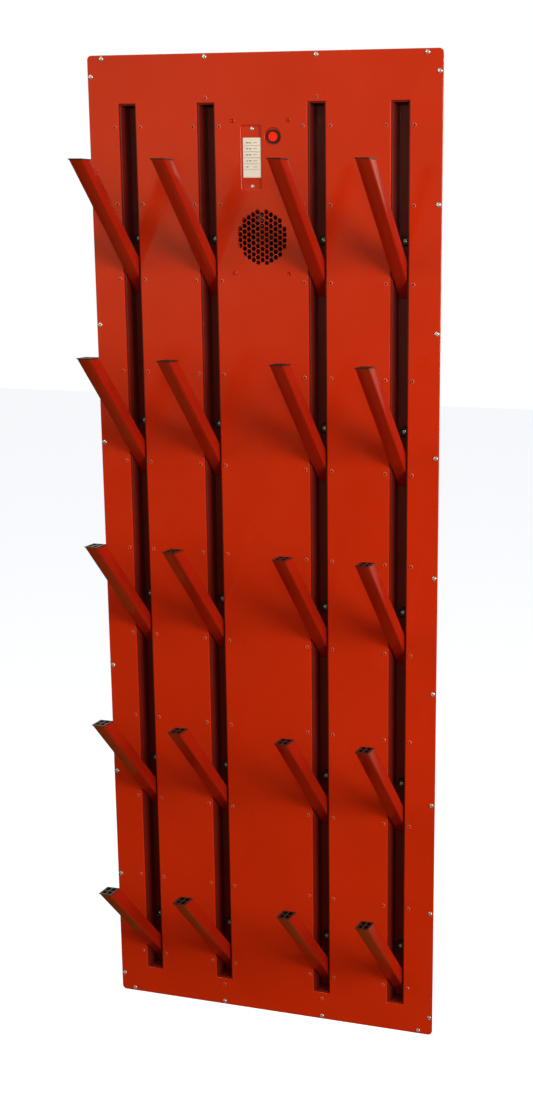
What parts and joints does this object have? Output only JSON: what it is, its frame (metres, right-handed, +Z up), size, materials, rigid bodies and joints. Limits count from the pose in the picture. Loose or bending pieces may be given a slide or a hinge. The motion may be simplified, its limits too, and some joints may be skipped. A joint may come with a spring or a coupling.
{
  "type": "boot dryer",
  "caption": "Wall-recessed boot and glove dryer: a red steel panel with slots of fold-out square air pegs, a fan and heater behind a hexagon grille, a timer and a rocker switch.",
  "frame": {"origin": "centre of the lower border of the front sheet, on its back face, 12 mm above its bottom edge, where it lies on the wall", "axes": "+Y points into the wall, +Z up, so the pegs fold out towards -Y and +X is to the right of a person facing the dryer"},
  "size_m": [0.66, 0.2692, 1.8],
  "materials": {
    "red_powder_coat": "semi-gloss powder coat",
    "black_plastic": "moulded, fine satin",
    "white_timer_plastic": "moulded, smooth",
    "red_lens": "polished translucent",
    "galvanised_sheet": "galvanised, dull",
    "heater_ceramic": "unglazed ceramic",
    "grey_plastic": "moulded, satin"
  },
  "bodies": {
    "housing": {"front_panel": "red_powder_coat", "channel_1": "red_powder_coat", "channel_2": "red_powder_coat", "channel_3": "red_powder_coat", "channel_4": "red_powder_coat", "control_plate": "red_powder_coat", "timer_body": "white_timer_plastic", "switch_bezel": "black_plastic", "fan_frame": "black_plastic", "heater_core": "heater_ceramic", "rear_box": "galvanised_sheet", "cable_gland": "black_plastic", "terminal_box": "grey_plastic"},
    "peg_r1_c1": {"peg_tube_r1_c1": "red_powder_coat", "tip_grille_r1_c1": "black_plastic"},
    "peg_r1_c2": {"peg_tube_r1_c2": "red_powder_coat", "tip_grille_r1_c2": "black_plastic"},
    "peg_r1_c3": {"peg_tube_r1_c3": "red_powder_coat", "tip_grille_r1_c3": "black_plastic"},
    "peg_r1_c4": {"peg_tube_r1_c4": "red_powder_coat", "tip_grille_r1_c4": "black_plastic"},
    "peg_r2_c1": {"peg_tube_r2_c1": "red_powder_coat", "tip_grille_r2_c1": "black_plastic"},
    "peg_r2_c2": {"peg_tube_r2_c2": "red_powder_coat", "tip_grille_r2_c2": "black_plastic"},
    "peg_r2_c3": {"peg_tube_r2_c3": "red_powder_coat", "tip_grille_r2_c3": "black_plastic"},
    "peg_r2_c4": {"peg_tube_r2_c4": "red_powder_coat", "tip_grille_r2_c4": "black_plastic"},
    "peg_r3_c1": {"peg_tube_r3_c1": "red_powder_coat", "tip_grille_r3_c1": "black_plastic"},
    "peg_r3_c2": {"peg_tube_r3_c2": "red_powder_coat", "tip_grille_r3_c2": "black_plastic"},
    "peg_r3_c3": {"peg_tube_r3_c3": "red_powder_coat", "tip_grille_r3_c3": "black_plastic"},
    "peg_r3_c4": {"peg_tube_r3_c4": "red_powder_coat", "tip_grille_r3_c4": "black_plastic"},
    "peg_r4_c1": {"peg_tube_r4_c1": "red_powder_coat", "tip_grille_r4_c1": "black_plastic"},
    "peg_r4_c2": {"peg_tube_r4_c2": "red_powder_coat", "tip_grille_r4_c2": "black_plastic"},
    "peg_r4_c3": {"peg_tube_r4_c3": "red_powder_coat", "tip_grille_r4_c3": "black_plastic"},
    "peg_r4_c4": {"peg_tube_r4_c4": "red_powder_coat", "tip_grille_r4_c4": "black_plastic"},
    "peg_r5_c1": {"peg_tube_r5_c1": "red_powder_coat", "tip_grille_r5_c1": "black_plastic"},
    "peg_r5_c2": {"peg_tube_r5_c2": "red_powder_coat", "tip_grille_r5_c2": "black_plastic"},
    "peg_r5_c3": {"peg_tube_r5_c3": "red_powder_coat", "tip_grille_r5_c3": "black_plastic"},
    "peg_r5_c4": {"peg_tube_r5_c4": "red_powder_coat", "tip_grille_r5_c4": "black_plastic"},
    "button_1": {"timer_button_1": "white_timer_plastic"},
    "button_2": {"timer_button_2": "white_timer_plastic"},
    "button_3": {"timer_button_3": "white_timer_plastic"},
    "button_4": {"timer_button_4": "white_timer_plastic"},
    "button_5": {"timer_button_5": "white_timer_plastic"},
    "rocker": {"switch_rocker": "red_lens"},
    "rotor": {"fan_rotor": "black_plastic"}
  },
  "joints": [
    {"name": "peg_fold_r1_c1", "type": "hinge", "parent": "housing", "child": "peg_r1_c1", "pos_m": [-0.255, 0.0105, 1.417], "axis": [-1, 0, 0], "range_deg": [0, 46]},
    {"name": "peg_fold_r1_c2", "type": "hinge", "parent": "housing", "child": "peg_r1_c2", "pos_m": [-0.1035, 0.0105, 1.417], "axis": [-1, 0, 0], "range_deg": [0, 46]},
    {"name": "peg_fold_r1_c3", "type": "hinge", "parent": "housing", "child": "peg_r1_c3", "pos_m": [0.1035, 0.0105, 1.417], "axis": [-1, 0, 0], "range_deg": [0, 46]},
    {"name": "peg_fold_r1_c4", "type": "hinge", "parent": "housing", "child": "peg_r1_c4", "pos_m": [0.255, 0.0105, 1.417], "axis": [-1, 0, 0], "range_deg": [0, 46]},
    {"name": "peg_fold_r2_c1", "type": "hinge", "parent": "housing", "child": "peg_r2_c1", "pos_m": [-0.255, 0.0105, 1.086], "axis": [-1, 0, 0], "range_deg": [0, 46]},
    {"name": "peg_fold_r2_c2", "type": "hinge", "parent": "housing", "child": "peg_r2_c2", "pos_m": [-0.1035, 0.0105, 1.086], "axis": [-1, 0, 0], "range_deg": [0, 46]},
    {"name": "peg_fold_r2_c3", "type": "hinge", "parent": "housing", "child": "peg_r2_c3", "pos_m": [0.1035, 0.0105, 1.086], "axis": [-1, 0, 0], "range_deg": [0, 46]},
    {"name": "peg_fold_r2_c4", "type": "hinge", "parent": "housing", "child": "peg_r2_c4", "pos_m": [0.255, 0.0105, 1.086], "axis": [-1, 0, 0], "range_deg": [0, 46]},
    {"name": "peg_fold_r3_c1", "type": "hinge", "parent": "housing", "child": "peg_r3_c1", "pos_m": [-0.255, 0.0105, 0.755], "axis": [-1, 0, 0], "range_deg": [0, 46]},
    {"name": "peg_fold_r3_c2", "type": "hinge", "parent": "housing", "child": "peg_r3_c2", "pos_m": [-0.1035, 0.0105, 0.755], "axis": [-1, 0, 0], "range_deg": [0, 46]},
    {"name": "peg_fold_r3_c3", "type": "hinge", "parent": "housing", "child": "peg_r3_c3", "pos_m": [0.1035, 0.0105, 0.755], "axis": [-1, 0, 0], "range_deg": [0, 46]},
    {"name": "peg_fold_r3_c4", "type": "hinge", "parent": "housing", "child": "peg_r3_c4", "pos_m": [0.255, 0.0105, 0.755], "axis": [-1, 0, 0], "range_deg": [0, 46]},
    {"name": "peg_fold_r4_c1", "type": "hinge", "parent": "housing", "child": "peg_r4_c1", "pos_m": [-0.255, 0.0105, 0.424], "axis": [-1, 0, 0], "range_deg": [0, 46]},
    {"name": "peg_fold_r4_c2", "type": "hinge", "parent": "housing", "child": "peg_r4_c2", "pos_m": [-0.1035, 0.0105, 0.424], "axis": [-1, 0, 0], "range_deg": [0, 46]},
    {"name": "peg_fold_r4_c3", "type": "hinge", "parent": "housing", "child": "peg_r4_c3", "pos_m": [0.1035, 0.0105, 0.424], "axis": [-1, 0, 0], "range_deg": [0, 46]},
    {"name": "peg_fold_r4_c4", "type": "hinge", "parent": "housing", "child": "peg_r4_c4", "pos_m": [0.255, 0.0105, 0.424], "axis": [-1, 0, 0], "range_deg": [0, 46]},
    {"name": "peg_fold_r5_c1", "type": "hinge", "parent": "housing", "child": "peg_r5_c1", "pos_m": [-0.255, 0.0105, 0.093], "axis": [-1, 0, 0], "range_deg": [0, 46]},
    {"name": "peg_fold_r5_c2", "type": "hinge", "parent": "housing", "child": "peg_r5_c2", "pos_m": [-0.1035, 0.0105, 0.093], "axis": [-1, 0, 0], "range_deg": [0, 46]},
    {"name": "peg_fold_r5_c3", "type": "hinge", "parent": "housing", "child": "peg_r5_c3", "pos_m": [0.1035, 0.0105, 0.093], "axis": [-1, 0, 0], "range_deg": [0, 46]},
    {"name": "peg_fold_r5_c4", "type": "hinge", "parent": "housing", "child": "peg_r5_c4", "pos_m": [0.255, 0.0105, 0.093], "axis": [-1, 0, 0], "range_deg": [0, 46]},
    {"name": "button_press_1", "type": "slide", "parent": "housing", "child": "button_1", "axis": [0, 1, 0], "range_m": [0, 0.0007], "stiffness_N_per_m": 400, "springref_m": -0.0005},
    {"name": "button_press_2", "type": "slide", "parent": "housing", "child": "button_2", "axis": [0, 1, 0], "range_m": [0, 0.0007], "stiffness_N_per_m": 400, "springref_m": -0.0005},
    {"name": "button_press_3", "type": "slide", "parent": "housing", "child": "button_3", "axis": [0, 1, 0], "range_m": [0, 0.0007], "stiffness_N_per_m": 400, "springref_m": -0.0005},
    {"name": "button_press_4", "type": "slide", "parent": "housing", "child": "button_4", "axis": [0, 1, 0], "range_m": [0, 0.0007], "stiffness_N_per_m": 400, "springref_m": -0.0005},
    {"name": "button_press_5", "type": "slide", "parent": "housing", "child": "button_5", "axis": [0, 1, 0], "range_m": [0, 0.0007], "stiffness_N_per_m": 400, "springref_m": -0.0005},
    {"name": "rocker_tilt", "type": "hinge", "parent": "housing", "child": "rocker", "pos_m": [0.0225, -0.001, 1.649], "axis": [1, 0, 0], "range_deg": [0, 12]},
    {"name": "fan_spin", "type": "hinge", "parent": "housing", "child": "rotor", "pos_m": [0, 0.012, 1.479], "axis": [0, 1, 0], "continuous": true}
  ]
}
